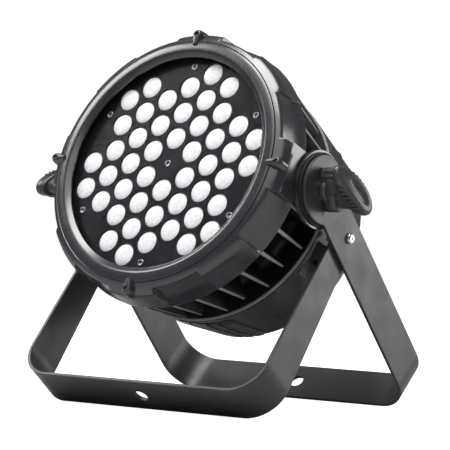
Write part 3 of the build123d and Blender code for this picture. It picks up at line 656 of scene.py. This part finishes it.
def oval(half_length, half_width, power=0.92, count=72):
    """Outline a little fuller than an ellipse, along local x."""
    points = []
    for k in range(count):
        c, s = math.cos(math.tau * k / count), math.sin(math.tau * k / count)
        x = half_length * math.copysign(abs(c) ** power, c)
        y = half_width * math.copysign(abs(s) ** power, s)
        points.append((x, y))
    return points


def bar_outline(half_length, half_width, turn, count=72):
    """A slot's outline, turned in its plane."""
    points = []
    straight = half_length - half_width
    for k in range(count):
        angle = math.tau * (k + 0.5) / count
        shift = math.copysign(straight, math.cos(angle))
        point = Vector((shift + half_width * math.cos(angle), half_width * math.sin(angle)))
        points.append(Matrix.Rotation(math.radians(turn), 2) @ point)
    return points


def cap_low(x):
    """Height of the cap's underside."""
    return CAP_UNDERSIDE + CAP_LEAN * x


def cap_high(x):
    """Height of the cap's crown."""
    return KNOB_TIP - CROWN_FALL * (CAP_HALF_LENGTH - x) ** 2


def rod(shells, start, end, radius, taper=0.35):
    """A rounded rib between two points of local space, with its ends tapered."""
    sizes = ((0.0, taper), (0.08, 0.85), (0.16, 1.0), (0.84, 1.0), (0.92, 0.85), (1.0, taper))
    angles = [math.tau * k / ROD_POINTS for k in range(ROD_POINTS)]
    rings = []
    for share, size in sizes:
        middle = start.lerp(end, share)
        rings.append([
            middle + Vector((radius * size * math.cos(a), radius * size * math.sin(a), 0))
            for a in angles
        ])
    shells.loft(rings)


def make_knob_base(matrix, name):
    """The bar on the yoke, the collar round its foot, the neck, and the ridges at its end."""
    base = Shells(matrix)
    base.loft([
        [Vector((*point, height))
         for point in bar_outline(BAR_HALF_LENGTH - inset, BAR_HALF_WIDTH - inset, -BAR_TURN)]
        for height, inset in BAR_LEVELS
    ])
    base.lathe(COLLAR, COLLAR_POINTS)
    neck = []
    for share, size in NECK_LEVELS:
        ring = []
        for x, y in oval(NECK_HALF_LENGTH * size, NECK_HALF_WIDTH * size):
            x += NECK_SHIFT
            height = cap_low(x) + 0.4 - BAR_FACE + NECK_ROOT
            ring.append(Vector((x, y, BAR_FACE - NECK_ROOT + height * share)))
        neck.append(ring)
    base.loft(neck)
    for x, y in FOOT_RIDGES:
        foot = Vector((x, y, KNOB_FOOT + 0.8))
        rod(base, foot, Vector((x, y, cap_low(x) + 0.8)), FOOT_RIDGE_RADIUS, FOOT_RIDGE_TAPER)
    base.piece(f"knob_{name}_base", "knob_plastic", f"knob_{name}", f"knob_{name}_grip", sharp=45)


def make_knob_cap(matrix, name):
    """The leaning oval cap, with its shallow dish and the ribs on its flanks."""
    cap = Shells(matrix)
    outline = oval(CAP_HALF_LENGTH, CAP_HALF_WIDTH)
    rings = []
    for share, size in CAP_LEVELS:
        ring = []
        for x, y in outline:
            low, high = cap_low(x * size), cap_high(x * size)
            ring.append(Vector((x * size, y * size, low + (high - low) * share)))
        rings.append(ring)
    for size, sink in DISH_LEVELS:
        ring = []
        for x, y in outline:
            place = DISH_SHIFT + x * size
            ring.append(Vector((place, y * size * DISH_WIDTH, cap_high(place) - sink)))
        rings.append(ring)
    cap.loft(rings)
    for number in range(RIB_COUNT):
        x = RIB_START + RIB_STEP * number
        edge = CAP_HALF_WIDTH * math.sqrt(1 - (x / CAP_HALF_LENGTH) ** 2) + RIB_STANDOFF
        low, high = cap_low(x) + 2.4, cap_high(x) - 1.8
        for flank in (1, -1):
            bottom = Vector((x, flank * edge, low))
            rod(cap, bottom, Vector((x, flank * (edge - RIB_LEAN), high)), RIB_RADIUS)
    cap.piece(f"knob_{name}_crown", "knob_plastic", f"knob_{name}", f"knob_{name}_cap", sharp=50)


def make_knob(side, name):
    """One clamp knob; side is 1 on the viewer's right and -1 on the left."""
    turn = math.radians(KNOB_TURNS[name])
    along = YOKE_DOWN * math.cos(turn) - YOKE_BACK * math.sin(turn)
    outward = ACROSS * side
    matrix = placing(PIVOT, along, outward.cross(along), outward)
    make_knob_base(matrix, name)
    make_knob_cap(matrix, name)


for knob_side, knob_name in ((1, "right"), (-1, "left")):
    make_knob(knob_side, knob_name)


# ---------------------------------------------------------------- studio
FLOOR_REACH = 30.0
FLOOR_TONE = (0.52, 0.52, 0.53)
FLOOR_GLOW = 0.95            # of the floor, seen by the camera only
BACKDROP_GLOW = 1.1          # of the background, seen by the camera only
ROOM_TONE = (0.93, 0.95, 1, 1)
ROOM_GLOW = 0.16             # of the room, as the lamp sees it
WHITE = (1, 1, 1, 1)
PANELS = (                   # name, azimuth, elevation, distance, size, power
    ("overhead_softbox", -98, 80, 1.9, (1.2, 1.0), 40),
    ("left_softbox", -162, 39, 1.9, (0.8, 0.75), 14),
    ("right_back_softbox", 52, 6, 2.0, (0.7, 1.0), 13),
    ("front_fill", -62, 48, 2.6, (2.0, 2.0), 20),
    ("high_front_panel", -118, 60, 2.2, (1.0, 0.8), 4),
)
CAMERA_RIGHT = Vector((0.80566, 0.59159, 0.03089))
CAMERA_UP = Vector((-0.03159, -0.00917, 0.99946))
CAMERA_OFFSET = Vector((1.278, -1.702, -0.0094))
CAMERA_LENS = 192.43
CAMERA_SENSOR = 36.0
CAMERA_CLIP = 100.0


def make_floor():
    """A pale floor whose own glow reaches the camera but not the lamp."""
    mesh = bpy.data.meshes.new("studio_floor")
    far = FLOOR_REACH
    corners = [(-far, -far, 0), (far, -far, 0), (far, far, 0), (-far, far, 0)]
    mesh.from_pydata(corners, [], [(0, 1, 2, 3)])
    floor = add_object("studio_floor", mesh)
    paint = Paint("pale_floor", FLOOR_TONE, 0.8).vary_roughness(200, 0.05)
    paint.shader.inputs["Emission Color"].default_value = WHITE
    seen = paint.node("ShaderNodeLightPath")
    glow = paint.maths("MULTIPLY", seen.outputs["Is Camera Ray"], FLOOR_GLOW)
    paint.link(glow, paint.shader.inputs["Emission Strength"])
    mesh.materials.append(paint.material)


def make_world():
    """A white background for the camera, and a dim room for everything else."""
    world = bpy.data.worlds.new("studio")
    world.use_nodes = True
    tree = world.node_tree
    backdrop = tree.nodes["Background"]
    backdrop.inputs["Color"].default_value = WHITE
    backdrop.inputs["Strength"].default_value = BACKDROP_GLOW
    room = tree.nodes.new("ShaderNodeBackground")
    room.inputs["Color"].default_value = ROOM_TONE
    room.inputs["Strength"].default_value = ROOM_GLOW
    path = tree.nodes.new("ShaderNodeLightPath")
    switch = tree.nodes.new("ShaderNodeMixShader")
    tree.links.new(path.outputs["Is Camera Ray"], switch.inputs["Fac"])
    tree.links.new(room.outputs["Background"], switch.inputs[1])
    tree.links.new(backdrop.outputs["Background"], switch.inputs[2])
    tree.links.new(switch.outputs["Shader"], tree.nodes["World Output"].inputs["Surface"])
    bpy.context.scene.world = world


def make_panel(name, azimuth, elevation, distance, size, power):
    """Soft light standing in this direction from the lamp, facing it."""
    turn, tilt = math.radians(azimuth), math.radians(elevation)
    level = math.cos(tilt)
    away = Vector((math.cos(turn) * level, math.sin(turn) * level, math.sin(tilt)))
    light = bpy.data.lights.new(name, "AREA")
    light.shape = "RECTANGLE"
    light.size, light.size_y = size
    light.energy = power
    lamp = add_object(name, light)
    lamp.location = PIVOT + away * distance
    lamp.rotation_mode = "QUATERNION"
    lamp.rotation_quaternion = (PIVOT - lamp.location).to_track_quat("-Z", "Y")
    lamp.visible_camera = False


def make_camera():
    """The camera, placed from the tilt axis."""
    data = bpy.data.cameras.new("camera")
    camera = add_object("camera", data)
    right, up = CAMERA_RIGHT, CAMERA_UP
    matrix = Matrix((right, up, right.cross(up))).transposed().to_4x4()
    matrix.translation = PIVOT + CAMERA_OFFSET
    camera.matrix_world = matrix
    data.lens = CAMERA_LENS
    data.sensor_width = CAMERA_SENSOR
    data.clip_end = CAMERA_CLIP
    bpy.context.scene.camera = camera


bpy.context.scene.view_settings.view_transform = "Standard"
make_floor()
make_world()
for panel in PANELS:
    make_panel(*panel)
make_camera()
